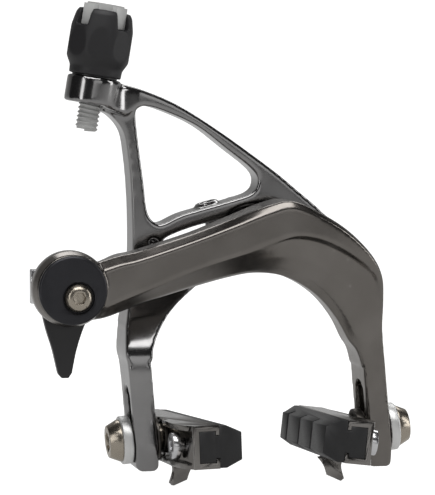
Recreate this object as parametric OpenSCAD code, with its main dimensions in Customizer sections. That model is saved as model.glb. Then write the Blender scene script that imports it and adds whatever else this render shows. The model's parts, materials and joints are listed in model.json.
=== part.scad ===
// Dual-pivot side-pull rim brake caliper, millimetres.
// Origin: centre bolt axis at the seat plane. +X to the rider's left seen from the front of the
// bicycle's fork, +Y towards the fork, +Z up. The caliper's front faces -Y.

/* [Reach and pivots] */
// Height of the pad bolts below the centre bolt
reach = 48; // [44:0.5:52]
// Sideways distance from the centre bolt to the side pivot
pivot_x = 14; // [13:0.5:15]
// Height of the side pivot
pivot_z = -1.5; // [-2:0.5:0]

/* [Layers from the seat plane] */
// Depth of the rear arm's layer
rear_arm_depth = 8; // [7:0.5:9]
// Depth of the front arm's layer
front_arm_depth = 12; // [11:0.5:13]
// Air between the two arms' layers
arm_air = 4; // [3.5:0.5:5]

/* [Centre bolt] */
// Diameter of the mounting stud
stud_d = 6; // [5:0.5:6]
// Length of the stud behind the seat plane
stud_len = 16; // [10:1:30]
// Radius of the bolt's hub
hub_r = 3.9; // [3.5:0.1:4]
// Radius of the front journal
journal_r = 3.4; // [3:0.1:3.5]
// Radius of the side pivot's journal
side_journal_r = 2.8; // [2.5:0.1:3]

/* [Pads] */
// Length of the shoe and pad
pad_len = 54; // [45:1:56]
// Height of the shoe
shoe_h = 9.8; // [9:0.2:11]
// Thickness of the rubber that stands out of the shoe
pad_proud = 6.4; // [5:0.2:7]
// Toe-in angle of each pad
toe_in = 3; // [0:0.5:4]
// Radius of the pad bolt's shank
pad_bolt_r = 2.9; // [2.4:0.1:3]
// Length of the leg's slot beyond the bolt, upwards
slot_up = 9; // [6:0.5:10]

/* [Adjuster] */
// Lean of the adjuster's axis
adjuster_lean = 9.5; // [5:0.5:12]
// Height of the rubber grip
grip_h = 15.4; // [13:0.2:17]
// Outer radius of the barrel's thread
barrel_r = 2.7; // [2.5:0.1:3]
// Radius of the cable housing's seat
housing_r = 2.1; // [2:0.1:2.2]

/* [Quick release] */
// Radius of the anchor boss at its rear edge
boss_r = 8.7; // [8:0.1:9]
// Offset of the anchor bolt from the release disc's centre
throw_r = 2.1; // [2:0.1:2.8]
// Radius of the anchor bolt's shank
anchor_r = 2.4; // [2:0.1:2.5]

/* [Clearances] */
// Radial clearance of a running fit
run_fit = 0.05; // [0.02:0.01:0.1]
// Clearance of a screw in its plain hole
free_fit = 0.2; // [0.1:0.05:0.3]
// Air between parts that pass each other
air = 0.3; // [0.2:0.05:0.4]

/* [Hidden] */
$fn = 64;

// Layers along Y, from the seat plane forwards
seat_t = 1.5;
bracket_t = 4.5;
rear_y0 = -11;                          // rear face of the rear arm
rear_y1 = rear_y0 - rear_arm_depth;     // front face of the rear arm
front_y0 = rear_y1 - arm_air;           // rear face of the front arm
front_y1 = front_y0 - front_arm_depth;  // front face of the front arm
pad_y = -21;                            // plane of the pad bolts
leg_depth = 12;
leg_tilt = 5;                           // both legs lean, foot towards +X
leg_w = 5.4;
left_inner = -24.6;                     // inner faces of the legs at the pad bolts
right_inner = 25.8;
function leg_line(x, z) = x - tan(leg_tilt) * (z + reach);

// Smooth closed or open curve through hand-placed points (Catmull-Rom)
function cr(a, b, c, d, t) = 0.5 * (2 * b + (c - a) * t + (2 * a - 5 * b + 4 * c - d) * t * t
    + (3 * b - a - 3 * c + d) * t * t * t);
function loop_curve(p, n) = [for (i = [0 : len(p) - 1], k = [0 : n - 1])
    cr(p[(i + len(p) - 1) % len(p)], p[i], p[(i + 1) % len(p)], p[(i + 2) % len(p)], k / n)];
function open_curve(p, n) = [for (i = [0 : len(p) - 2], k = [0 : (i == len(p) - 2 ? n : n - 1)])
    cr(p[max(i - 1, 0)], p[i], p[i + 1], p[min(i + 2, len(p) - 1)], k / n)];

// Extrude an XZ outline between two Y planes (y_rear > y_front)
module slab(y_rear, y_front) {
    translate([0, y_rear, 0]) rotate([90, 0, 0]) linear_extrude(y_rear - y_front) children();
}
// A round bar along Y from y_rear forwards to y_front
module bar_y(x, z, r, y_rear, y_front) {
    translate([x, y_rear, z]) rotate([90, 0, 0]) cylinder(h = y_rear - y_front, r = r);
}
// Solid of revolution about a line along Y; profile is [radius, distance forwards]
module turned_y(x, z, y_rear) {
    translate([x, y_rear, z]) rotate([90, 0, 0]) rotate_extrude() children();
}

// ---- centre bolt group ---------------------------------------------------------------
flange_r = hub_r + 0.7;
undercut_r = stud_d / 2 - 0.4;
tooth_gap = 0.06;                       // the washer's teeth end this far behind the seat plane
flange_y = front_y0 - 1.9;
flange_t = 1.3;
journal_end = front_y1 + 2.2;
module centre_bolt() {
    color("#8d8a86") union() {
        bar_y(0, 0, stud_d / 2, stud_len, 0);
        bar_y(0, 0, undercut_r, 0, -seat_t);
        bar_y(0, 0, hub_r, -seat_t, flange_y);
        bar_y(0, 0, flange_r, flange_y, flange_y - flange_t);
        bar_y(0, 0, journal_r, flange_y - flange_t, journal_end);
    }
}
seat_r = 6.4;
module seat_washer() {
    color("#a9a9a6") difference() {
        union() {
            bar_y(0, 0, seat_r, -0.6, -seat_t);
            for (i = [0 : 17]) rotate([0, i * 20, 0]) translate([seat_r - 2.8, -0.6, -0.45])
                cube([2.6, 0.6 - tooth_gap, 0.9]);
        }
        bar_y(0, 0, stud_d / 2 + free_fit, 1, -seat_t - 1);
    }
}
bracket_r = 6.2;
module bracket_plate_shape() {
    difference() {
        union() {
            circle(r = bracket_r);
            translate([pivot_x, pivot_z]) circle(r = bracket_r - 0.4);
            polygon([[0, bracket_r - 0.3], [pivot_x, pivot_z + bracket_r - 0.7],
                [pivot_x, pivot_z - bracket_r + 0.7], [0, 0.3 - bracket_r]]);
        }
        circle(r = hub_r + run_fit);
    }
}
module pivot_bracket() {
    color("#5a5856") difference() {
        union() {
            slab(-seat_t, -seat_t - bracket_t) bracket_plate_shape();
            bar_y(pivot_x, pivot_z, 5, -seat_t - bracket_t, rear_y0 + 0.6);
        }
        bar_y(pivot_x, pivot_z, 2.5, 0, rear_y0);
    }
}
module side_pivot_bolt() {
    color("#9b9894") difference() {
        union() {
            bar_y(pivot_x, pivot_z, 2.5, -seat_t - 0.3, rear_y0 + 0.6);
            bar_y(pivot_x, pivot_z, side_journal_r, rear_y0 + 0.6, rear_y1 - 0.5);
            bar_y(pivot_x, pivot_z, 4.6, rear_y1 - 0.5, rear_y1 - 2.1);
        }
        translate([pivot_x, rear_y1 - 1, pivot_z]) rotate([90, 0, 0]) cylinder(h = 3, r = 2, $fn = 6);
    }
}
module thrust_washer(y_rear) {
    color("#d9d5c8") difference() {
        bar_y(pivot_x, pivot_z, 4.9, y_rear, y_rear - 0.4);
        bar_y(pivot_x, pivot_z, side_journal_r + run_fit, y_rear + 1, y_rear - 1);
    }
}
module rear_thrust_washer() { thrust_washer(rear_y0 + 0.5); }
module front_thrust_washer() { thrust_washer(rear_y1 - 0.05); }

// Return spring: a flat coil round the hub with a tail to the rear arm's left leg
wire_r = 0.8;
coil_r = hub_r + 1.4;
coil_y = -seat_t - bracket_t - 2;
tail_end = [-24.6, -10.5];
module return_spring() {
    dx = tail_end[0] + coil_r;
    color("#b5b3ae") union() {
        turned_y(0, 0, coil_y) translate([coil_r, 0]) circle(r = wire_r, $fn = 24);
        translate([-coil_r, coil_y, 0]) rotate([0, atan2(dx, tail_end[1]), 0])
            cylinder(h = norm([dx, tail_end[1]]), r = wire_r - 0.05, $fn = 24);
    }
}

// ---- front arm -------------------------------------------------------------------------
// Stations along the arm: [outer x, z, ridge x, z, inner x, z, rear y, outer y, face y, inner y]
leg_rear = pad_y + leg_depth / 2;
leg_front = pad_y - leg_depth / 2;
low_z = -reach - 7.4;
foot_z = low_z - 1;
crease_z = -reach - 1.7;                // below this line both legs' front faces slope back
boss_rear = front_y1 + 5;
STATIONS = [
    [-47, -7.5, -46.5, -17.5, -46, -20, boss_rear, front_y1 + 2.5, front_y1 + 1, front_y1 + 3],
    [-40, -6.4, -39, -16.2, -38.5, -19.2, boss_rear, front_y1 + 2.5, front_y1, front_y1 + 3.5],
    [-35, -5, -34, -14.4, -33.2, -17.5, front_y0 - 3.2, front_y1 + 2.8, front_y1, front_y1 + 4],
    [-30, -4, -29, -12.5, -28, -15.8, front_y0 - 2.9, front_y1 + 3, front_y1, front_y1 + 4.5],
    [-18, -0.4, -17, -7.7, -16, -12.4, front_y0 - 2.9, front_y1 + 3, front_y1, front_y1 + 5.5],
    [-8, 3.2, -7, -4.6, -6, -10.1, front_y0 - 1.2, front_y1 + 2.5, front_y1, front_y1 + 6],
    [0, 6.1, -0.5, -2.6, -0.5, -9.8, front_y0, front_y1 + 1.5, front_y1, front_y1 + 6.5],
    [5.5, 7, 6, -0.9, 4.5, -10.6, front_y0, front_y1 + 1, front_y1, front_y1 + 6.5],
    [12, 4.3, 12, -1.7, 9.5, -13, front_y0 + 0.5, front_y1 + 1.5, front_y1 + 0.2, front_y1 + 6.5],
    [19, 0, 18, -4.3, 14, -16.5, front_y0 + 1.5, front_y1 + 2.5, front_y1 + 1, front_y1 + 7],
    [25, -5.7, 23.3, -7.7, 18, -21.3, front_y0 + 3, front_y1 + 4, front_y1 + 2.5, front_y1 + 7.8],
    [28, -11, 26.5, -11, 20.8, -26, front_y0 + 5, front_y1 + 5.5, front_y1 + 4.2, front_y1 + 8.5],
    [28.7, -17, 27.7, -16.5, 22.9, -29, leg_rear - 1.5, front_y1 + 6.8, front_y1 + 5.8, leg_front],
    [28.9, -24, 28, -23.5, 24.5, -34.5, leg_rear, leg_front + 0.8, leg_front - 0.9, leg_front + 0.2],
    leg_station(-33, -41, 0), leg_station(-41, -46, 0), leg_station(crease_z, crease_z, 0),
    leg_station(foot_z + 1, foot_z + 1, 1.9),
    [leg_line(right_inner + leg_w, foot_z) - 1, foot_z, leg_line(right_inner + leg_w, foot_z) - 1.6, foot_z,
        leg_line(right_inner, foot_z) + 0.9, foot_z, leg_rear - 1, leg_front + 3, leg_front + 2.4,
        leg_front + 2.6]];
// One station of the right leg; back is how far its front face has sloped back
function leg_station(zo, zi, back) = [leg_line(right_inner + leg_w, zo), zo,
    leg_line(right_inner + leg_w, zo) - 0.9, zo, leg_line(right_inner, zi), zi, leg_rear,
    leg_front + 1 + back, leg_front + back, leg_front + 0.4 + back];
RINGS = open_curve(STATIONS, 5);
// Share of the way from ridge to outer edge at which the top bevel starts
bevel_at = 0.8;
// Roll of the arm below its ridge, as [share of the way down, share of the way back]
ROLL = [[0.08, 0.25], [0.5, 0.42], [0.85, 0.72]];
// The step just under the ridge grows from nothing left of the pivot to full size over step_run
step_x0 = -5;
step_run = 15;
function ring_points(s) = let (bx = s[2] + (s[0] - s[2]) * bevel_at, bz = s[3] + (s[1] - s[3]) * bevel_at,
        k = max(0, min(1, (s[2] - step_x0) / step_run)))
    concat([[s[0], s[6], s[1]], [s[0], s[7], s[1]], [bx, s[8], bz], [s[2], s[8], s[3]]],
        [for (i = [0 : len(ROLL) - 1]) [s[2] + (s[4] - s[2]) * ROLL[i][0],
            s[8] + (s[9] - s[8]) * ROLL[i][1] * (i == 0 ? k : 1), s[3] + (s[5] - s[3]) * ROLL[i][0]]],
        [[s[4], s[9], s[5]], [s[4], s[6], s[5]]]);
module loft(rings) {
    n = len(rings);
    m = len(rings[0]);
    pts = [for (r = rings, p = r) p];
    sides = [for (i = [0 : n - 2], j = [0 : m - 1]) let (k = (j + 1) % m)
        each [[i * m + j, (i + 1) * m + j, i * m + k], [i * m + k, (i + 1) * m + j, (i + 1) * m + k]]];
    ends = [[for (j = [0 : m - 1]) j], [for (j = [m - 1 : -1 : 0]) (n - 1) * m + j]];
    polyhedron(points = pts, faces = concat(sides, ends));
}
boss_x = -46.1;
boss_z = -12.2;
boss_front = front_y1 - 1.2;
boss_bore = 5.6;
link_x = pivot_x / 2;
roller_r = link_x - flange_r - 0.7;
bush_wall = 0.9;
right_leg_x = right_inner + leg_w / 2;
slot_half = pad_bolt_r + free_fit;
// Places children at the pad bolt of one leg: +X of the local frame points out of the leg
module at_leg(x) { translate([x, pad_y, -reach]) rotate([0, -leg_tilt, 0]) children(); }
foot_below = 7;
module leg_slot() {
    for (z = [-1, slot_up]) translate([-8, 0, z]) rotate([0, 90, 0]) cylinder(h = 16, r = slot_half);
    translate([-8, -slot_half, -1]) cube([16, 2 * slot_half, slot_up + 1]);
}
module front_arm() {
    color("#6a6762") difference() {
        union() {
            loft([for (s = RINGS) ring_points(s)]);
            turned_y(boss_x, boss_z, boss_rear)
                polygon([[0, 0], [boss_r - 0.5, 0], [boss_r, 0.5], [boss_r, 3.4],
                    [boss_r - 0.9, boss_rear - boss_front], [0, boss_rear - boss_front]]);
        }
        bar_y(boss_x, boss_z, boss_bore, front_y0 + 1, boss_front - 1);
        bar_y(0, 0, journal_r + run_fit + bush_wall, front_y0 + 1, journal_end - 0.4);
        bar_y(0, 0, flange_r + 0.4, front_y0 + 1, flange_y - flange_t - 0.2);
        slab(front_y0 + 1, front_y0 - 4.6) translate([link_x - 3, -roller_r - 0.1])
            square([6, 2 * roller_r + 0.2]);
        at_leg(right_leg_x) leg_slot();
        // the milled face that the right cup washer slides up
        at_leg(right_leg_x) translate([-leg_w / 2 - 4, -leg_depth, -foot_below])
            cube([4, 2 * leg_depth, foot_below + slot_up + 7]);
    }
}
module centre_bush() {
    color("#b08d57") difference() {
        bar_y(0, 0, journal_r + run_fit + bush_wall, flange_y - flange_t - 0.25, journal_end - 0.3);
        bar_y(0, 0, journal_r + run_fit, 0, journal_end - 0.1);
    }
}
module retaining_ring() {
    color("#6f6f6f") difference() {
        bar_y(0, 0, flange_r + 0.35, front_y0 - 0.6, front_y0 - 1.5);
        bar_y(0, 0, hub_r + 0.4, 0, front_y0 - 2);
        translate([0, front_y0 - 1, -5]) cube([2, 4, 8], center = true);
    }
}

// ---- rear arm --------------------------------------------------------------------------
eye_x = -37.7;
eye_z = 35.2;
eye_y = (rear_y0 + rear_y1) / 2 - 3.5;
eye_r = 6.2;
eye_h = 6.2;
relief_r = 5.4;
UPPER = [[-37, 33.6], [-31.4, 33.6], [-24.4, 31.5], [-17.2, 28.2], [-7.7, 22.2], [4.3, 13.6], [10.2, 8.8],
    [16.5, 3.4], [19.2, -1], [17.8, -5.4], [14, -6.9], [9, -7.4], [2, -8.3], [-5, -9], [-10.8, -11.4],
    [-15.3, -14.6], [-20, -18.6], [-23.4, -23], [-25.4, -27], [-26.2, -30], [-31.5, -30],
    [-31.6, -24], [-29.8, -15], [-28.9, -5], [-29.1, 8], [-30, 18], [-31.2, 23.2], [-34.5, 26.8], [-38, 28]];
WINDOW = [[-28.1, 26.3], [-27.2, 18], [-26.2, 10.5], [-25.6, 5], [-24.4, 2.2], [-22, 1.2], [-17.2, 3.3],
    [-10.6, 5.1], [-5, 6.6], [-0.7, 8], [0.9, 10], [0, 13.2], [-6.6, 18.5], [-13.6, 23.8], [-21, 27.2],
    [-25.5, 28.5], [-27.5, 28]];
HUB_GAP = [[-21.6, -2.6], [-19.2, -1.2], [-14.6, 0.4], [-9.4, 1.7], [-6, 2.6], [-4, 4.2], [0, 5.2], [4, 4.2], [7.2, 1.8],
    [7.6, -2], [5, -4.6], [0, -5.6], [-5, -5.6], [-12, -6.2], [-18.5, -6.4], [-21.8, -4.6]];
module upper_shape() {
    difference() {
        polygon(loop_curve(UPPER, 5));
        polygon(loop_curve(WINDOW, 5));
        polygon(loop_curve(HUB_GAP, 4));
    }
}
left_leg_x = left_inner - leg_w / 2;
module left_leg_shape() {
    foot = foot_z + 0.8;
    polygon([[-26.6, -22], [leg_line(left_inner, -30), -30], [leg_line(left_inner, foot + 1), foot + 1],
        [leg_line(left_inner, foot) - 1, foot], [leg_line(left_inner, foot) - leg_w + 1, foot],
        [leg_line(left_inner, foot + 1) - leg_w, foot + 1], [leg_line(left_inner, -30) - leg_w, -30],
        [-31.4, -22]]);
}
// Side view of the left leg, as [y, z]: it steps forwards to the pad bolts' plane
LEG_STEP = [[rear_y1, -13.5], [rear_y1 - 1, -16], [rear_y1 - 4, -21.5], [leg_front + 0.8, -27],
    [leg_front, -31], [leg_front, -36]];
module left_leg_side() {
    polygon(concat([[rear_y0, -14]], open_curve(LEG_STEP, 5), [[leg_front, crease_z],
        [leg_front + 2.2, foot_z - 1], [leg_rear, foot_z - 1], [leg_rear, -34], [rear_y0 - 1.5, -24]]));
}
// Front outline of the web between the eyelet and the arm, seen from above, as [x, y]
EYE_BLEND = [[-37.7, eye_y - eye_r + 0.4], [-34.6, eye_y - eye_r + 1.8], [-31, rear_y1 - 1.3], [-27, rear_y1 + 0.1]];
module adjuster_frame() { translate([eye_x, eye_y, eye_z]) rotate([0, adjuster_lean, 0]) children(); }
module screw_frame() { translate([-10, rear_y0 - 3, 4]) rotate([0, -15, 0]) children(); }
module rear_arm() {
    color("#86837e") difference() {
        union() {
            intersection() {
                slab(rear_y0, rear_y1) upper_shape();
                translate([-60, rear_y1 - 1, -22]) cube([100, rear_arm_depth + 2, 70]);
            }
            intersection() {
                slab(0, -40) union() {
                    left_leg_shape();
                    intersection() {
                        upper_shape();
                        translate([-40, -30]) square([30, 16]);
                    }
                }
                rotate([90, 0, 90]) translate([0, 0, -40]) linear_extrude(40) left_leg_side();
            }
            bar_y(pivot_x, pivot_z, 5.4, rear_y0, rear_y1);
            adjuster_frame() translate([0, 0, -eye_h]) cylinder(h = eye_h, r = eye_r);
            intersection() {
                slab(0, -40) polygon([[-38, 33.4], [-27, 32.4], [-27.5, 28.5], [-30.5, 26.3], [-36, 28.2]]);
                translate([0, 0, 20]) linear_extrude(20) polygon(concat(open_curve(EYE_BLEND, 5),
                    [[-27, rear_y0 - 1], [-38, rear_y0 - 1]]));
            }
            screw_frame() cylinder(h = 4.2, r = 2.8, center = true);
        }
        bar_y(pivot_x, pivot_z, side_journal_r + run_fit + bush_wall, 0, -40);
        adjuster_frame() translate([0, 0, -eye_h - 1]) cylinder(h = eye_h + 2, r = barrel_r + run_fit);
        adjuster_frame() translate([0, 0, -eye_h - 9]) cylinder(h = 9, r = barrel_r + air);
        bar_y(link_x, 0, 1.1, 0, -40);
        screw_frame() cylinder(h = 20, r = 1.5 + run_fit, center = true);
        bar_y(-23.9, -3.4, 1.1, rear_y1 + 3, rear_y1 - 1);
        at_leg(left_leg_x) leg_slot();
    }
}
module side_bush() {
    color("#b08d57") difference() {
        bar_y(pivot_x, pivot_z, side_journal_r + run_fit + bush_wall, rear_y0, rear_y1);
        bar_y(pivot_x, pivot_z, side_journal_r + run_fit, 0, -40);
    }
}
module link_pin() {
    color("#b9b9b9") bar_y(link_x, 0, 1.1, rear_y0, front_y0 - 4.2);
}
module link_roller() {
    color("#2c2c2c") difference() {
        bar_y(link_x, 0, roller_r, front_y0 - 0.6, front_y0 - 4);
        bar_y(link_x, 0, 1.1 + run_fit, 0, -60);
    }
}
module centring_screw() {
    color("#d0cec9") screw_frame() difference() {
        translate([0, 0, -4.8]) cylinder(h = 5.6, r = 1.5);
        translate([0, 0, -1]) cylinder(h = 4, r = 0.9, $fn = 6);
    }
}
slider_half = 5.8;
module spring_slider() {
    color("#1f1f1f") difference() {
        translate([tail_end[0] - 2.4, rear_y0 + 0.03, tail_end[1] - slider_half])
            cube([3.4, coil_y + 2.4 - rear_y0, 2 * slider_half]);
        translate([tail_end[0] - 1.4, coil_y - wire_r - air, tail_end[1] + 1 - slider_half])
            cube([6, 2 * (wire_r + air), 2 * slider_half - 2]);
    }
}

// ---- barrel adjuster -------------------------------------------------------------------
core_r = 4.3;
core_top = grip_h + 1.5;
flats = 8;
grip_flat = 7.15;                       // from the axis to the middle of a flat
module grip_profile() {
    polygon(concat([[core_r, 0.35], [6, 0.35]], open_curve([[6.1, 2.2], [7.3, 4.6], [7.6, 7], [7.3, 10.5],
        [6.5, grip_h - 1]], 3), [[5.9, grip_h], [core_r, grip_h]]));
}
module adjuster_grip() {
    color("#2f2e31") adjuster_frame() difference() {
        intersection() {
            rotate_extrude() grip_profile();
            rotate(12) cylinder(h = grip_h + 1, r = grip_flat / cos(180 / flats), $fn = flats);
        }
        for (a = [0 : 90 : 270]) rotate(a + 35) translate([0, -1.75, grip_h - 4])
            cube([12, 3.5, 8]);
    }
}
module adjuster_core() {
    color("#cfcfcd") adjuster_frame() difference() {
        union() {
            translate([0, 0, 0.35]) cylinder(h = core_top - 0.35, r = core_r - 0.02);
            for (a = [0 : 90 : 270]) rotate(a + 35) translate([0, -1.65, grip_h - 3.8])
                cube([5.4, 3.3, core_top - grip_h + 3.4]);
        }
        translate([0, 0, -1]) cylinder(h = core_top - 4, r = barrel_r + run_fit);
        translate([0, 0, 1]) cylinder(h = 30, r = housing_r);
    }
}
module adjuster_barrel() {
    color("#d8d8d6") adjuster_frame() difference() {
        union() {
            translate([0, 0, -12.6]) cylinder(h = 21, r = barrel_r - 0.35);
            for (z = [-12.2 : 1 : 7.8]) translate([0, 0, z]) rotate_extrude()
                polygon([[0, -0.45], [barrel_r - 0.35, -0.45], [barrel_r - 0.02, -0.1],
                    [barrel_r - 0.02, 0.1], [barrel_r - 0.35, 0.45], [0, 0.45]]);
        }
        translate([0, 0, -20]) cylinder(h = 40, r = 0.9);
        translate([0, 0, 1]) cylinder(h = 30, r = housing_r - 0.3);
    }
}
module detent_ring() {
    color("#3a3a3a") adjuster_frame() difference() {
        translate([0, 0, 0.02]) cylinder(h = 0.3, r = 5.2);
        translate([0, 0, -1]) cylinder(h = 3, r = barrel_r + 0.2);
    }
}

// ---- quick release and cable anchor ----------------------------------------------------
disc_t = 1.2;
throw_turn = 35;                        // the anchor bolt's place round the disc at rest
bolt_x = boss_x + throw_r * sin(throw_turn);
bolt_z = boss_z - throw_r * cos(throw_turn);
lever_y = boss_rear + air;
lever_t = 2.2;
module release_disc() {
    color("#2b2d33") difference() {
        turned_y(boss_x, boss_z, boss_front - 0.1)
            polygon([[0, 0], [boss_r - 0.9, 0], [boss_r - 0.9, disc_t - 0.4], [boss_r - 1.4, disc_t], [0, disc_t]]);
        bar_y(bolt_x, bolt_z, 3.6, boss_front - 0.5, boss_front - 4);
        bar_y(bolt_x, bolt_z, anchor_r + free_fit, 0, boss_front - 4);
    }
}
module lever_shape() {
    circle(r = 7.4);
    polygon(concat(open_curve([[6, -4.3], [3.6, -9.5], [2, -14.5], [1, -19.4]], 4),
        [[0.2, -20.6], [-1.4, -20.6]], open_curve([[-2.2, -19.6], [-3.5, -14], [-4.9, -9.5], [-6.2, -4]], 4)));
}
module release_lever() {
    color("#242426") difference() {
        union() {
            slab(lever_y + lever_t, lever_y) translate([boss_x, boss_z]) lever_shape();
            bar_y(boss_x, boss_z, boss_bore - run_fit, lever_y, boss_front - 0.05);
        }
        bar_y(bolt_x, bolt_z, anchor_r + free_fit, 0, boss_front - 4);
    }
}
module anchor_bolt() {
    color("#b3aca2") difference() {
        union() {
            bar_y(bolt_x, bolt_z, anchor_r, lever_y + lever_t + 6.5, boss_front - 0.55);
            turned_y(bolt_x, bolt_z, boss_front - 0.55)
                polygon([[0, 0], [3.2, 0], [3.2, 0.7], [2.6, 1.7], [1.8, 2.1], [0, 2.1]]);
        }
        translate([bolt_x, boss_front - 1.2, bolt_z]) rotate([90, 0, 0]) cylinder(h = 4, r = 1.45, $fn = 6);
    }
}
module clamp_washer() {
    color("#8f8d89") difference() {
        slab(lever_y + lever_t + 2.2, lever_y + lever_t + 0.4) translate([bolt_x, bolt_z])
            union() {
                circle(r = 4.6);
                translate([-9.2, -2]) square([9.2, 7.8]);
            }
        bar_y(bolt_x, bolt_z, anchor_r + 0.1, 0, -60);
    }
}
module anchor_nut() {
    color("#8b8a80") difference() {
        translate([bolt_x, lever_y + lever_t + 6.2, bolt_z]) rotate([90, 0, 0])
            cylinder(h = 3.9, r = 5.7, $fn = 6);
        bar_y(bolt_x, bolt_z, anchor_r + 0.02, 0, -60);
    }
}

// ---- pads ------------------------------------------------------------------------------
// Local frame of one pad unit: origin on the pad bolt axis at the leg's inner face, +X towards
// the rim, Y along the pad, Z up. side is -1 for the left leg and 1 for the right one.
shoe_d = 6;
front_len = 26;
fixing_air = 0.15;
shoe_hole = pad_bolt_r + 0.5;
// Distance from the leg to the shoe; the cup washer's thickness makes up the rest
function shoe_back(side) = side < 0 ? 2.6 : 3.8;
wall = 1.3;
module at_pad(side) {
    translate([side < 0 ? left_inner : right_inner, pad_y, -reach]) mirror([side < 0 ? 0 : 1, 0, 0])
        children();
}
// The shoe's own attitude on its ball washer: rolled about Y, dipped at the rear, then toed in
pad_dip = 3.4;
shoe_drop = 1;                          // the bolt sits this far above the middle of the shoe
function roll(side) = side < 0 ? 1 : 7;
module shoe_frame(side) {
    fixing_frame(side) translate([shoe_back(side), 0, 0]) rotate([0, -side * leg_tilt - roll(side), 0])
        rotate([-pad_dip, 0, toe_in]) children();
}
module shoe_body(side) { shoe_frame(side) translate([0, 0, -shoe_drop]) children(); }
// The bolt and the washers under its head stand square to the leg
module fixing_frame(side) { at_pad(side) rotate([0, side * leg_tilt, 0]) children(); }
face_x = shoe_d - 1.2 + pad_proud;
module block(x0, x1, y0, y1, z0, z1) { translate([x0, y0, z0]) cube([x1 - x0, y1 - y0, z1 - z0]); }
h2 = shoe_h / 2;
module shoe(side) {
    color("#77746f") shoe_body(side) difference() {
        union() {
            difference() {
                block(0, shoe_d, -front_len, pad_len - front_len, -h2, h2);
                block(wall, shoe_d + 1, -front_len - 1, pad_len - front_len - wall, -h2 + wall, h2 - wall);
            }
            for (s = [-1, 1]) translate([shoe_d - 0.8, -front_len, s > 0 ? h2 - wall - 0.9 : -h2 + wall - 0.1])
                cube([0.8, pad_len - wall, 1]);
            for (z = [-h2, h2 - 1.2]) translate([0, 0, z]) linear_extrude(1.2) crescent();
            fin();
        }
        // room for the washers between the two flanges
        translate([0, 0, shoe_drop]) rotate([0, -90, 0]) cylinder(h = 4, r = cup_r + 0.4);
        translate([0, 0, shoe_drop]) rotate([0, 90, 0]) cylinder(h = 6, r = shoe_hole, center = true);
        translate([0, -17, 0]) rotate([0, 90, 0]) cylinder(h = 8, r = 1.5, center = true);
    }
}
module crescent() {
    polygon(open_curve([[0.5, -front_len + 0.4], [-1.2, -22], [-2, -15], [-1.6, -8], [-1.2, 0], [-1.2, 8],
        [-0.6, 16], [0.5, pad_len - front_len - 3]], 4));
}
module fin() {
    translate([0.4, -3, -h2 + 0.5]) rotate([90, 0, 12]) linear_extrude(1.2, center = true)
        polygon(concat(open_curve([[0, 0], [0.8, -2.4], [-0.2, -5.4]], 4), [[0.5, -6.1]],
            open_curve([[4, -5], [5, -2.8], [6.6, -1.1]], 4), [[5.3, -0.6], [5.3, 0]]));
}
module pad_rubber(side) {
    n0 = wall + 0.05;
    hp = h2 - wall - 0.05;
    color("#2a2a2c") shoe_body(side) difference() {
        union() {
            block(n0, shoe_d - 0.85, -front_len, pad_len - front_len - wall - 0.05, -hp, hp);
            block(n0, shoe_d + 1, -front_len, pad_len - front_len - wall - 0.05, -hp + 1, hp - 1);
            rotate([90, 0, 0]) translate([0, 0, -(pad_len - front_len - 0.3)]) linear_extrude(pad_len - 0.3)
                polygon([[shoe_d + 0.05, -h2 + 0.1], [shoe_d + 1.6, -h2 + 0.1], [face_x, -3.1], [face_x, 3.1],
                    [shoe_d + 1.6, h2 - 0.1], [shoe_d + 0.05, h2 - 0.1]]);
        }
        for (y = [-12, 1.5, 15]) block(face_x - 1.6, face_x + 2, y - 0.6, y + 0.6, -9, 9);
        translate([face_x, pad_len - front_len, 0]) rotate([0, 0, 35]) cube([8, 10, 20], center = true);
    }
}
module keeper_screw(side) {
    color("#c9c7c3") shoe_body(side) translate([0, -17, 0]) difference() {
        union() {
            rotate([0, 90, 0]) cylinder(h = wall, r = 1.45);
            translate([-2.9, 0, 0]) rotate([0, 90, 0]) cylinder(h = 1.7, r = 3);
            translate([-1.4, 0, 0]) rotate([0, 90, 0]) cylinder(h = 1.4, r = 1.6);
        }
        translate([-3.9, 0, 0]) rotate([0, 90, 0]) cylinder(h = 2, r = 1.2, $fn = 6);
    }
}
washer_t = 2.5;
head_h = 2.9;
head_r = pad_bolt_r + 2;
cup_r = pad_bolt_r + 2.3;
outer_r = pad_bolt_r + 2.7;
module pad_bolt(side) {
    color("#aba292") fixing_frame(side) difference() {
        union() {
            translate([-leg_w - washer_t, 0, 0]) rotate([0, 90, 0])
                cylinder(h = leg_w + washer_t + shoe_back(side) + wall - 0.6, r = pad_bolt_r - 0.03);
            translate([-leg_w - washer_t, 0, 0]) rotate([0, -90, 0]) rotate_extrude()
                polygon([[0, 0], [head_r, 0], [head_r, 0.4], [head_r - 1.2, head_h], [0, head_h]]);
        }
        translate([-leg_w - washer_t - 1.2, 0, 0]) rotate([0, -90, 0]) cylinder(h = 6, r = pad_bolt_r - 0.5, $fn = 6);
    }
}
module pad_washer(x0, t, r) {
    difference() {
        translate([x0, 0, 0]) rotate([0, 90, 0]) cylinder(h = t, r = r);
        translate([x0 - 1, 0, 0]) rotate([0, 90, 0]) cylinder(h = t + 2, r = pad_bolt_r + free_fit / 4);
    }
}
module outer_washer(side) {
    color("#d4d4d2") fixing_frame(side) pad_washer(-leg_w - washer_t, washer_t - fixing_air, outer_r);
}
module cup_washer(side) {
    color("#7d7b78") fixing_frame(side) pad_washer(fixing_air, shoe_back(side) - 1.9, cup_r);
}
module ball_washer(side) {
    color("#5d5b59") shoe_frame(side) difference() {
        translate([-0.75, 0, 0]) rotate([0, 90, 0]) cylinder(h = 0.75, r = shoe_hole + 0.6);
        translate([-2, 0, 0]) rotate([0, 90, 0]) cylinder(h = 4, r = shoe_hole);
    }
}

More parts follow.
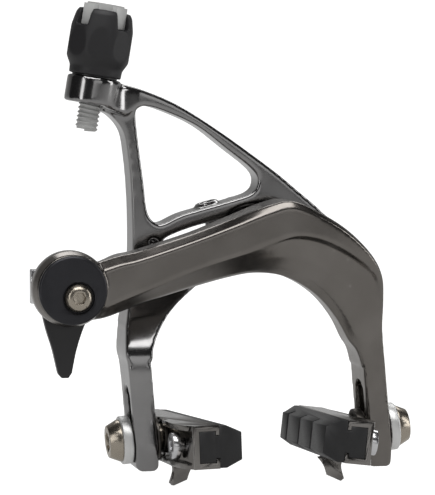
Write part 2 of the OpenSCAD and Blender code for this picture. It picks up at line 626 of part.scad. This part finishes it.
centre_bolt();
seat_washer();
pivot_bracket();
side_pivot_bolt();
rear_thrust_washer();
front_thrust_washer();
return_spring();
front_arm();
centre_bush();
retaining_ring();
rear_arm();
side_bush();
link_pin();
link_roller();
centring_screw();
spring_slider();
adjuster_grip();
adjuster_core();
adjuster_barrel();
detent_ring();
release_disc();
release_lever();
anchor_bolt();
clamp_washer();
anchor_nut();
shoe(-1);  // left_shoe
pad_rubber(-1);  // left_pad
keeper_screw(-1);  // left_keeper_screw
pad_bolt(-1);  // left_pad_bolt
outer_washer(-1);  // left_outer_washer
cup_washer(-1);  // left_cup_washer
ball_washer(-1);  // left_ball_washer
shoe(1);  // right_shoe
pad_rubber(1);  // right_pad
keeper_screw(1);  // right_keeper_screw
pad_bolt(1);  // right_pad_bolt
outer_washer(1);  // right_outer_washer
cup_washer(1);  // right_cup_washer
ball_washer(1);  // right_ball_washer
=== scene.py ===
# %% [markdown]
# Rim brake caliper
# This lesson dresses a finished mechanical model of a road bicycle's rim brake. The model arrives as a
# fixed frame: every part already has its size, its place and its joint. Blender's work is to give each
# part the surface of the real one: forged and polished arms, moulded rubber, turned titanium.

# %% Load the frame
import json
import math
import bmesh
import bpy
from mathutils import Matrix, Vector


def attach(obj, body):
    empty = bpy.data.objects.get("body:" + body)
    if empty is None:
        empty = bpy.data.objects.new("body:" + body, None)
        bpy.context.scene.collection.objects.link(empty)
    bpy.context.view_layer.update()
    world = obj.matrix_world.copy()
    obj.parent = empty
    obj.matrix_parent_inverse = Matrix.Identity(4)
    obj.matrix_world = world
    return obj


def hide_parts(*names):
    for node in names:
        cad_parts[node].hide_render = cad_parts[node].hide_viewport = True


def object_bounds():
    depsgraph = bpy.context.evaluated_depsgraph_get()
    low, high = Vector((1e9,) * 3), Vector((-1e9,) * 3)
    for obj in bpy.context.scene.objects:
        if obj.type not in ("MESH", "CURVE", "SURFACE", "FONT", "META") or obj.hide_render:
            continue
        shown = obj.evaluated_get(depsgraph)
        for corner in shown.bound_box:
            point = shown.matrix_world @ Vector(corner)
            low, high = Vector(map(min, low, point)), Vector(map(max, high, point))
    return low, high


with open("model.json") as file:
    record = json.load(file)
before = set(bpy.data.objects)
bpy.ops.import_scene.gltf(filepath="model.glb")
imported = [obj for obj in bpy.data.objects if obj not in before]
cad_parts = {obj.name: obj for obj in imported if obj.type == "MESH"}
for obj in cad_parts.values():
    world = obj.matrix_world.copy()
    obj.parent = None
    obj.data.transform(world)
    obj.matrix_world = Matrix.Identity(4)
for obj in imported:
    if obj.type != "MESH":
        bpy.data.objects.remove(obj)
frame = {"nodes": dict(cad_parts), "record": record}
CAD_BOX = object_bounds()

MM = 0.001
NODES = frame["nodes"]

# %% [markdown]
# The camera comes first, because it decides which surfaces matter. The caliper is seen from its front,
# turned a little so that its left side shows, and from slightly above. A long lens keeps the arms from
# looking stretched.

# %% Camera
VIEW_TURN = math.radians(13)
VIEW_RISE = math.radians(4.3)
VIEW_AIM = Vector((-10.2, -25.0, -4.0)) * MM
VIEW_DISTANCE = 650 * MM
VIEW_LENS = 205

back = Vector((-math.sin(VIEW_TURN) * math.cos(VIEW_RISE), -math.cos(VIEW_TURN) * math.cos(VIEW_RISE),
               math.sin(VIEW_RISE)))
camera_data = bpy.data.cameras.new("camera")
camera_data.lens = VIEW_LENS
camera_data.clip_start = 0.01
camera = bpy.data.objects.new("camera", camera_data)
camera.location = VIEW_AIM + back * VIEW_DISTANCE
camera.rotation_euler = back.to_track_quat("Z", "Y").to_euler()
bpy.context.scene.collection.objects.link(camera)
bpy.context.scene.camera = camera
print("camera at", [round(v, 3) for v in camera.location])

# %% [markdown]
# Polished metal shows the room more than itself. The room here is a pale sweep behind the caliper and
# a dim grey everywhere else, so that the metal has something dark to mirror, with five soft boxes:
# overhead, left, right, a broad dim one in front for the flat faces, and one behind that draws the rims.

# %% Sweep, soft boxes and room
def new_object(name, mesh):
    made = bpy.data.objects.new(name, mesh)
    bpy.context.scene.collection.objects.link(made)
    return made


def add_node(tree, kind, settings=None, links=None):
    """One node: settings go to its properties or inputs, links join other sockets to its inputs."""
    made = tree.nodes.new(kind)
    for key, value in (settings or {}).items():
        if isinstance(key, str) and hasattr(made, key):
            setattr(made, key, value)
        else:
            made.inputs[key].default_value = value
    for key, socket in (links or {}).items():
        tree.links.new(socket, made.inputs[key])
    return made


def linear(hex_colour):
    """Turn an sRGB hex colour into the linear values that shaders use, with a full alpha."""
    parts = [int(hex_colour[i:i + 2], 16) / 255 for i in (1, 3, 5)]
    return tuple(p / 12.92 if p <= 0.04045 else ((p + 0.055) / 1.055) ** 2.4 for p in parts) + (1.0,)


def plain_material(name, hex_colour, roughness):
    made = bpy.data.materials.new(name)
    made.use_nodes = True
    shader = made.node_tree.nodes["Principled BSDF"]
    shader.inputs["Base Color"].default_value = linear(hex_colour)
    shader.inputs["Roughness"].default_value = roughness
    return made


# glow of the paper as it is looked at, and as the polished metal mirrors its floor and its wall
PAPER_TO_EYE = 0.97
FLOOR_TO_METAL = 0.4
WALL_TO_METAL = 0.13
# the sweep's measures in metres, and the steps that round it from floor to wall
SWEEP_HALF = 1.6
SWEEP_FRONT = -1.5
SWEEP_BACK = 0.9
SWEEP_RADIUS = 0.35
SWEEP_HEIGHT = 1.6
SWEEP_STEPS = 12
FLOOR_DROP = 3 * MM
floor_z = CAD_BOX[0][2] - FLOOR_DROP
profile = [(SWEEP_FRONT, floor_z), (SWEEP_BACK - SWEEP_RADIUS, floor_z)]
for step in range(1, SWEEP_STEPS + 1):
    turn = step / SWEEP_STEPS * math.pi / 2
    profile.append((SWEEP_BACK - SWEEP_RADIUS + SWEEP_RADIUS * math.sin(turn),
                    floor_z + SWEEP_RADIUS * (1 - math.cos(turn))))
profile.append((SWEEP_BACK, floor_z + SWEEP_HEIGHT))
sweep_mesh = bpy.data.meshes.new("sweep")
sweep_mesh.from_pydata([(x, y, z) for y, z in profile for x in (-SWEEP_HALF, SWEEP_HALF)], [],
                       [(2 * i, 2 * i + 1, 2 * i + 3, 2 * i + 2) for i in range(len(profile) - 1)])
sweep = new_object("sweep", sweep_mesh)
for face in sweep_mesh.polygons:
    face.use_smooth = True
paper = plain_material("paper_sweep", "#8f8f8e", 0.9)
# the paper glows by itself, so it stays white however dim the room is; the eye gets one glow, and metal
# mirrors another, from the floor or the wall by how level the paper lies
paper_tree = paper.node_tree
paper_shader = paper_tree.nodes["Principled BSDF"]
paper_shader.inputs["Emission Color"].default_value = linear("#ffffff")
seen = add_node(paper_tree, "ShaderNodeLightPath")
lie = add_node(paper_tree, "ShaderNodeNewGeometry")
level = add_node(paper_tree, "ShaderNodeSeparateXYZ", {}, {"Vector": lie.outputs["True Normal"]})
flat = add_node(paper_tree, "ShaderNodeMath", {"operation": "ABSOLUTE"}, {0: level.outputs["Z"]})
mirrored = add_node(paper_tree, "ShaderNodeMapRange", {"To Min": WALL_TO_METAL, "To Max": FLOOR_TO_METAL},
                    {"Value": flat.outputs[0]})
glow = add_node(paper_tree, "ShaderNodeMapRange", {"To Max": PAPER_TO_EYE},
                {"Value": seen.outputs["Is Camera Ray"], "To Min": mirrored.outputs["Result"]})
paper_tree.links.new(glow.outputs["Result"], paper_shader.inputs["Emission Strength"])
sweep_mesh.materials.append(paper)


def soft_box(name, place, size_x, size_y, power):
    """A rectangular light at a place in metres, turned to the origin, with its power in watts."""
    light = bpy.data.lights.new(name, "AREA")
    light.shape = "RECTANGLE"
    light.size = size_x
    light.size_y = size_y
    light.energy = power
    made = bpy.data.objects.new(name, light)
    made.location = place
    made.rotation_euler = Vector(place).to_track_quat("Z", "Y").to_euler()
    bpy.context.scene.collection.objects.link(made)


for name, place, size_x, size_y, power in (("overhead_box", (-0.05, -0.33, 0.68), 0.7, 0.55, 4.6),
                                           ("left_box", (-0.75, -0.55, 0.2), 0.2, 0.7, 1.3),
                                           ("right_box", (0.8, -0.25, 0.15), 0.2, 0.8, 2.0),
                                           ("front_box", (0.15, -1.2, 0.2), 0.8, 0.35, 0.8),
                                           ("rim_box", (0.15, 0.5, 0.55), 0.7, 0.2, 1.6)):
    soft_box(name, place, size_x, size_y, power)
ROOM_STRENGTH = 0.07
world = bpy.data.worlds.new("dim_room")
world.use_nodes = True
room = world.node_tree.nodes["Background"]
room.inputs["Color"].default_value = linear("#b9b9bb")
room.inputs["Strength"].default_value = ROOM_STRENGTH
bpy.context.scene.world = world
bpy.context.scene.view_settings.view_transform = "Standard"
print("sweep floor at", round(floor_z, 4))

# %% [markdown]
# Finishes. Each metal starts from a dark or light base colour with full metalness and a roughness from
# how it was made: a polished forging is near 0.2, a machined face near 0.3, a tumbled washer near 0.45.
# Plastics and rubbers go through the same maker with no metalness.
# Noise at a real scale in millimetres varies the roughness and lifts a very small bump, so that the
# highlights are never perfectly clean. Pointed edges are painted a shade lighter: a painted highlight
# where the rounded rims catch the light, which also stands for wear.

# %% A finish maker for metals, plastics and rubbers
CLOUD_MM = 9
RELIEF_MM = 0.02


def finish(name, base, tone_and_sheen, roughness, metallic, grain_mm, bump, spread=0.08, sheen_wear_share=0.5):
    """A finish with two colours mixed by cloudy noise and by a painted highlight on pointed edges, and
    roughness that wanders.
    """
    made = bpy.data.materials.new(name)
    made.use_nodes = True
    tree = made.node_tree
    shader = tree.nodes["Principled BSDF"]
    shader.inputs["Metallic"].default_value = metallic
    place = add_node(tree, "ShaderNodeTexCoord")
    cloud = add_node(tree, "ShaderNodeTexNoise", {"Scale": 1 / (CLOUD_MM * MM), "Detail": 3.0},
                     {"Vector": place.outputs["Object"]})
    grain = add_node(tree, "ShaderNodeTexNoise", {"Scale": 1 / (grain_mm * MM), "Detail": 4.0},
                     {"Vector": place.outputs["Object"]})
    edges = add_node(tree, "ShaderNodeNewGeometry")
    # pointed edges painted lighter: a painted highlight where rounded rims catch the light, also standing
    # for wear
    edge_sheen_and_wear = add_node(tree, "ShaderNodeMapRange",
                    {"From Min": 0.5, "From Max": 0.62, "To Min": 0.0, "To Max": sheen_wear_share},
                    {"Value": edges.outputs["Pointiness"]})
    tint = add_node(tree, "ShaderNodeMapRange",
                    {"From Min": 0.35, "From Max": 0.7, "To Min": 0.0, "To Max": 0.3},
                    {"Value": cloud.outputs["Fac"]})
    amount = add_node(tree, "ShaderNodeMath", {"operation": "MAXIMUM"},
                      {0: edge_sheen_and_wear.outputs["Result"], 1: tint.outputs["Result"]})
    # the lighter colour serves both the cloudy tone and the painted edge highlight
    colour = add_node(tree, "ShaderNodeMixRGB", {"Color1": linear(base), "Color2": linear(tone_and_sheen)},
                      {"Fac": amount.outputs["Value"]})
    rough = add_node(tree, "ShaderNodeMapRange",
                     {"From Min": 0.3, "From Max": 0.7, "To Min": roughness - spread / 2,
                      "To Max": roughness + spread},
                     {"Value": grain.outputs["Fac"]})
    relief = add_node(tree, "ShaderNodeBump", {"Strength": bump, "Distance": RELIEF_MM * MM},
                      {"Height": grain.outputs["Fac"]})
    tree.links.new(colour.outputs["Color"], shader.inputs["Base Color"])
    tree.links.new(rough.outputs["Result"], shader.inputs["Roughness"])
    tree.links.new(relief.outputs["Normal"], shader.inputs["Normal"])
    return made


# %% [markdown]
# The slots below are the record's own. The comment beside each says what the maker did to the real
# part and what that gives the eye.

# %% Finishes by slot
FINISHES = {
    # forged aluminium, ground, polished, then anodised dark titanium grey: warm, clear reflections
    "anodised_alloy": finish("anodised_alloy", "#716d69", "#8b8783", 0.24, 1.0, 2.5, 0.0, 0.03),
    # the same forging polished brighter under a thin smoke anodise: cool with strong highlights
    "polished_alloy": finish("polished_alloy", "#858484", "#a5a4a3", 0.15, 1.0, 2.5, 0.0, 0.03),
    # sand-blasted and anodised dark: spreads the light
    "dark_alloy": finish("dark_alloy", "#4b4845", "#75716b", 0.36, 1.0, 0.2, 0.2),
    # extruded, bent and polished shoe
    "shoe_alloy": finish("shoe_alloy", "#6c6966", "#94918e", 0.2, 1.0, 0.6, 0.04, 0.05),
    # turned face anodised black: dark satin, nearly neutral
    # a stronger painted highlight on this finish's edges
    "black_anodised": finish("black_anodised", "#2a2a2d", "#3e3e42", 0.34, 0.7, 0.25, 0.06, 0.05, sheen_wear_share=0.8),
    # tumbled aluminium washer: matt and pale
    "pale_washer": finish("pale_washer", "#d4d4d3", "#e9e9e8", 0.45, 1.0, 0.3, 0.15),
    # titanium, turned and left bare: warm grey with fine turning marks
    "titanium": finish("titanium", "#9c9488", "#c2baad", 0.26, 1.0, 0.25, 0.1, 0.06),
    # bright zinc on small steel parts
    "zinc_steel": finish("zinc_steel", "#c6c6c8", "#e4e4e4", 0.2, 1.0, 0.3, 0.06, 0.06),
    # steel stud blackened in hot oxide and oiled
    "blackened_steel": finish("blackened_steel", "#3a3938", "#6a6866", 0.34, 1.0, 0.3, 0.15),
    # drawn spring wire
    "spring_steel": finish("spring_steel", "#9a9996", "#c0c0bf", 0.25, 1.0, 0.4, 0.06, 0.06),
    # sintered bronze bush, slightly porous
    "bronze": finish("bronze", "#b0884f", "#d0a870", 0.38, 1.0, 0.15, 0.4),
    # slippery washer, plain moulded polymer
    "slip_polymer": finish("slip_polymer", "#cfcabc", "#dedacf", 0.5, 0.0, 0.4, 0.2),
    # moulded nylon lever with fine spark grain
    "black_plastic": finish("black_plastic", "#141315", "#222123", 0.36, 0.0, 0.22, 0.3),
    # pale grey moulded nylon
    "grey_plastic": finish("grey_plastic", "#adadac", "#c4c4c2", 0.42, 0.0, 0.3, 0.2),
    # soft matt rubber grip
    "black_rubber": finish("black_rubber", "#141315", "#1f1e21", 0.5, 0.0, 0.18, 0.4),
    # brake compound: denser rubber with a slight bloom
    "pad_rubber": finish("pad_rubber", "#121213", "#1e1e20", 0.48, 0.0, 0.25, 0.4),
}
SLOT_OF = {row["node"]: row["material_slot"] for row in frame["record"]["subparts"]}
BODY_OF = {node: body for body, nodes in frame["record"]["behaviour"]["bodies"].items() for node in nodes}
for node, made in NODES.items():
    made.data.materials.clear()
    made.data.materials.append(FINISHES[SLOT_OF[node]])
print("finishes:", len(FINISHES))

# %% [markdown]
# The frame's meshes are exact but have razor edges. A real part never does: a forging comes out of its
# die with round edges, and a turned part gets a small chamfer from the lathe. The two helpers below give
# a copy of a node one or the other. The copy's loose triangles are merged first.

# %% Helpers: merged copy, forged and machined edges
def merged_copy(node, name):
    """A node's mesh as a new piece, with its doubled points merged and its flat faces made whole."""
    mesh = NODES[node].data.copy()
    mesh.name = name
    work = bmesh.new()
    work.from_mesh(mesh)
    bmesh.ops.remove_doubles(work, verts=work.verts, dist=0.002 * MM)
    bmesh.ops.dissolve_limit(work, angle_limit=math.radians(0.6), verts=work.verts, edges=work.edges)
    work.to_mesh(mesh)
    work.free()
    return new_object(name, mesh)


def applied(piece):
    """Turn a piece and its modifiers into a plain mesh with no modifiers."""
    bpy.context.view_layer.update()
    mesh = bpy.data.meshes.new_from_object(piece.evaluated_get(bpy.context.evaluated_depsgraph_get()))
    piece.modifiers.clear()
    old = piece.data
    piece.data = mesh
    bpy.data.meshes.remove(old)


def settle(piece, body, slot, *nodes):
    """Finish a piece: its material, the body it rides on and the nodes it stands for."""
    piece.data.materials.clear()
    piece.data.materials.append(FINISHES[slot])
    for face in piece.data.polygons:
        face.material_index = 0
    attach(piece, body)
    if nodes:
        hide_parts(*nodes)
    print(piece.name, "on", body, "faces", len(piece.data.polygons))


def forged(node, voxel_mm, passes):
    """Edges rounded as a forging's: the copy is rebuilt in small even cells and relaxed."""
    piece = merged_copy(node, node + "_forged")
    cells = piece.modifiers.new("cells", "REMESH")
    cells.mode = "VOXEL"
    coarse = 1.0
    cells.voxel_size = voxel_mm * MM * coarse
    cells.use_smooth_shade = True
    relax = piece.modifiers.new("relax", "SMOOTH")
    relax.factor = 0.5
    # a pass reaches one cell, so fewer passes round a coarser copy by the same amount
    relax.iterations = max(1, round(passes / coarse ** 2))
    applied(piece)
    for face in piece.data.polygons:
        face.use_smooth = True
    settle(piece, BODY_OF[node], SLOT_OF[node], node)


def machined(node, chamfer_mm, smooth_below=32, reshape=None):
    """Edges broken by a small round chamfer, with the turned faces left smooth."""
    piece = merged_copy(node, node + "_machined")
    for point in piece.data.vertices if reshape else ():
        point.co = reshape(point.co)
    chamfer = piece.modifiers.new("chamfer", "BEVEL")
    chamfer.width = chamfer_mm * MM
    chamfer.segments = 3
    chamfer.limit_method = "ANGLE"
    chamfer.angle_limit = math.radians(smooth_below)
    chamfer.harden_normals = True
    applied(piece)
    piece.data.set_sharp_from_angle(angle=math.radians(smooth_below + 10))
    for face in piece.data.polygons:
        face.use_smooth = True
    settle(piece, BODY_OF[node], SLOT_OF[node], node)


# %% [markdown]
# The two arms are the heart of the brake. Both are forgings, so both go through the forging helper.
# The cells have to be smaller than the narrowest rib, which is about 2 mm in the rear arm. The rear arm
# gets more passes, because the polishing that makes it brighter also wears its edges rounder.

# %% Arms
forged("front_arm", 0.3, 14)
forged("rear_arm", 0.3, 26)

# %% [markdown]
# Moulded parts have softer edges than metal ones. The grip and the lever curve all round, so they go
# through the forging helper. The pads and their shoes keep flat faces, and need only a wide chamfer.

# %% Grip, lever, pads and shoes
forged("adjuster_grip", 0.2, 12)
forged("release_lever", 0.22, 5)
for side in ("left", "right"):
    machined(side + "_pad", 0.35)
    machined(side + "_shoe", 0.3)

# %% [markdown]
# Turned and pressed parts. A lathe or a press leaves flat faces and round ones, with a small broken edge
# between them, so a chamfer in millimetres is all that each needs.

# %% Bolts, washers and small parts
SMALL = {"adjuster_core": 0.35, "release_disc": 0.2, "anchor_bolt": 0.2, "anchor_nut": 0.3,
         "clamp_washer": 0.2, "pivot_bracket": 0.4, "side_pivot_bolt": 0.25, "spring_slider": 0.3,
         "centring_screw": 0.15, "link_roller": 0.15}
for node, chamfer_mm in SMALL.items():
    machined(node, chamfer_mm)
for side in ("left", "right"):
    for part, chamfer_mm in (("pad_bolt", 0.25), ("outer_washer", 0.3), ("cup_washer", 0.12),
                             ("ball_washer", 0.12), ("keeper_screw", 0.35)):
        machined(f"{side}_{part}", chamfer_mm)

# %% [markdown]
# Two parts carry a thread that can be seen: the adjuster's barrel below its eyelet, and the mounting
# stud at the back. A thread is one ridge wound round a core. It could be modelled ring by ring, but a
# spiral swept with a small diamond is true to a real thread and takes its pitch as a number. The same
# node group makes both, from named inputs.

# %% The thread's node group
CREST_SHARE = 0.46
SPIRAL_STEPS = 48
CORE_SIDES = 64


def thread_group():
    """The node group, and the identifiers of its inputs by their names."""
    tree = bpy.data.node_groups.new("thread", "GeometryNodeTree")
    inputs = {}
    for label, kind in (("Core radius", "NodeSocketFloat"), ("Crest radius", "NodeSocketFloat"),
                        ("Pitch", "NodeSocketFloat"), ("Turns", "NodeSocketFloat"),
                        ("Core length", "NodeSocketFloat"), ("Finish", "NodeSocketMaterial")):
        inputs[label] = tree.interface.new_socket(label, in_out="INPUT", socket_type=kind).identifier
    tree.interface.new_socket("Geometry", in_out="OUTPUT", socket_type="NodeSocketGeometry")
    given = tree.nodes.new("NodeGroupInput").outputs
    crest = add_node(tree, "ShaderNodeMath", {"operation": "MULTIPLY", 1: CREST_SHARE}, {0: given["Pitch"]})
    path_r = add_node(tree, "ShaderNodeMath", {"operation": "SUBTRACT"},
                      {0: given["Crest radius"], 1: crest.outputs[0]})
    height = add_node(tree, "ShaderNodeMath", {"operation": "MULTIPLY"},
                      {0: given["Pitch"], 1: given["Turns"]})
    spiral = add_node(tree, "GeometryNodeCurveSpiral", {"Resolution": SPIRAL_STEPS},
                      {"Rotations": given["Turns"], "Start Radius": path_r.outputs[0],
                       "End Radius": path_r.outputs[0], "Height": height.outputs[0]})
    upright = add_node(tree, "GeometryNodeSetCurveNormal", {"mode": "Z_UP"}, {"Curve": spiral.outputs[0]})
    diamond = add_node(tree, "GeometryNodeCurvePrimitiveCircle", {"Resolution": 4},
                       {"Radius": crest.outputs[0]})
    ridge = add_node(tree, "GeometryNodeCurveToMesh", {"Fill Caps": True},
                     {"Curve": upright.outputs[0], "Profile Curve": diamond.outputs[0]})
    core = add_node(tree, "GeometryNodeMeshCylinder", {"Vertices": CORE_SIDES},
                    {"Radius": given["Core radius"], "Depth": given["Core length"]})
    half = add_node(tree, "ShaderNodeMath", {"operation": "MULTIPLY", 1: 0.5}, {0: given["Core length"]})
    lift = add_node(tree, "ShaderNodeCombineXYZ", {}, {"Z": half.outputs[0]})
    raised = add_node(tree, "GeometryNodeTransform", {},
                      {"Geometry": core.outputs["Mesh"], "Translation": lift.outputs[0]})
    both = tree.nodes.new("GeometryNodeJoinGeometry")
    tree.links.new(ridge.outputs[0], both.inputs[0])
    tree.links.new(raised.outputs[0], both.inputs[0])
    solid = add_node(tree, "GeometryNodeRealizeInstances", {}, {"Geometry": both.outputs[0]})
    dressed = add_node(tree, "GeometryNodeSetMaterial", {},
                       {"Geometry": solid.outputs[0], "Material": given["Finish"]})
    tree.links.new(dressed.outputs[0], tree.nodes.new("NodeGroupOutput").inputs[0])
    return tree, inputs


THREAD, THREAD_INPUTS = thread_group()
print("thread inputs:", list(THREAD_INPUTS))

# %% [markdown]
# A threaded piece is made upright at the origin and then turned and moved onto its axis, point by
# point, so that the finished piece itself stays at the origin.

# %% The barrel's thread
def threaded(name, foot, axis, core_r, crest_r, pitch, length, body, slot, *nodes):
    """A thread wound up an axis from its foot, with its measures in millimetres."""
    piece = new_object(name, bpy.data.meshes.new(name))
    wound = piece.modifiers.new("wound", "NODES")
    wound.node_group = THREAD
    lead = pitch * 0.5
    for label, value in (("Core radius", core_r * MM), ("Crest radius", crest_r * MM), ("Pitch", pitch * MM),
                         ("Turns", (length - pitch) / pitch), ("Core length", (length - pitch) * MM),
                         ("Finish", FINISHES[slot])):
        wound[THREAD_INPUTS[label]] = value
    applied(piece)
    turn = axis.to_track_quat("Z", "Y")
    for point in piece.data.vertices:
        point.co = foot + turn @ (point.co + Vector((0, 0, lead * MM)))
    piece.data.set_sharp_from_angle(angle=math.radians(40))
    settle(piece, body, slot, *nodes)


PITCH = 1.0
LEAN = math.radians(9.5)
BARREL_AXIS = Vector((math.sin(LEAN), 0, math.cos(LEAN)))
EYE = Vector((-37.7, -18.5, 35.2)) * MM
BARREL_FOOT = -12.6
BARREL_ROOT_R = 2.25
BARREL_CREST_R = 2.66
BARREL_LENGTH = 21.5
threaded("barrel_thread", EYE + BARREL_AXIS * BARREL_FOOT * MM, BARREL_AXIS, BARREL_ROOT_R, BARREL_CREST_R,
         PITCH, BARREL_LENGTH, "adjuster_barrel", "grey_plastic", "adjuster_barrel")

# %% [markdown]
# The stud's thread is rolled, so its crests stand as high as the plain shank and its roots lie below.
# The bolt's copy is narrowed behind the seat plane to the root, and the spiral brings it back to size.

# %% The stud
STUD_R = 3.0
STUD_ROOT_R = 2.4
STUD_LENGTH = 16.0
ROOT_SHARE = 0.86
SEAT_MARGIN = 0.05


def to_root(point):
    """Narrow the stud, and only the stud, to the root of its thread."""
    share = ROOT_SHARE if point.y > SEAT_MARGIN * MM else 1.0
    return Vector((point.x * share, point.y, point.z * share))


machined("centre_bolt", 0.3, reshape=to_root)
threaded("stud_thread", Vector((0, 0.6, 0)) * MM, Vector((0, 1, 0)), STUD_ROOT_R, STUD_R - 0.02, PITCH,
         STUD_LENGTH - 1.2, "bracket", "blackened_steel")
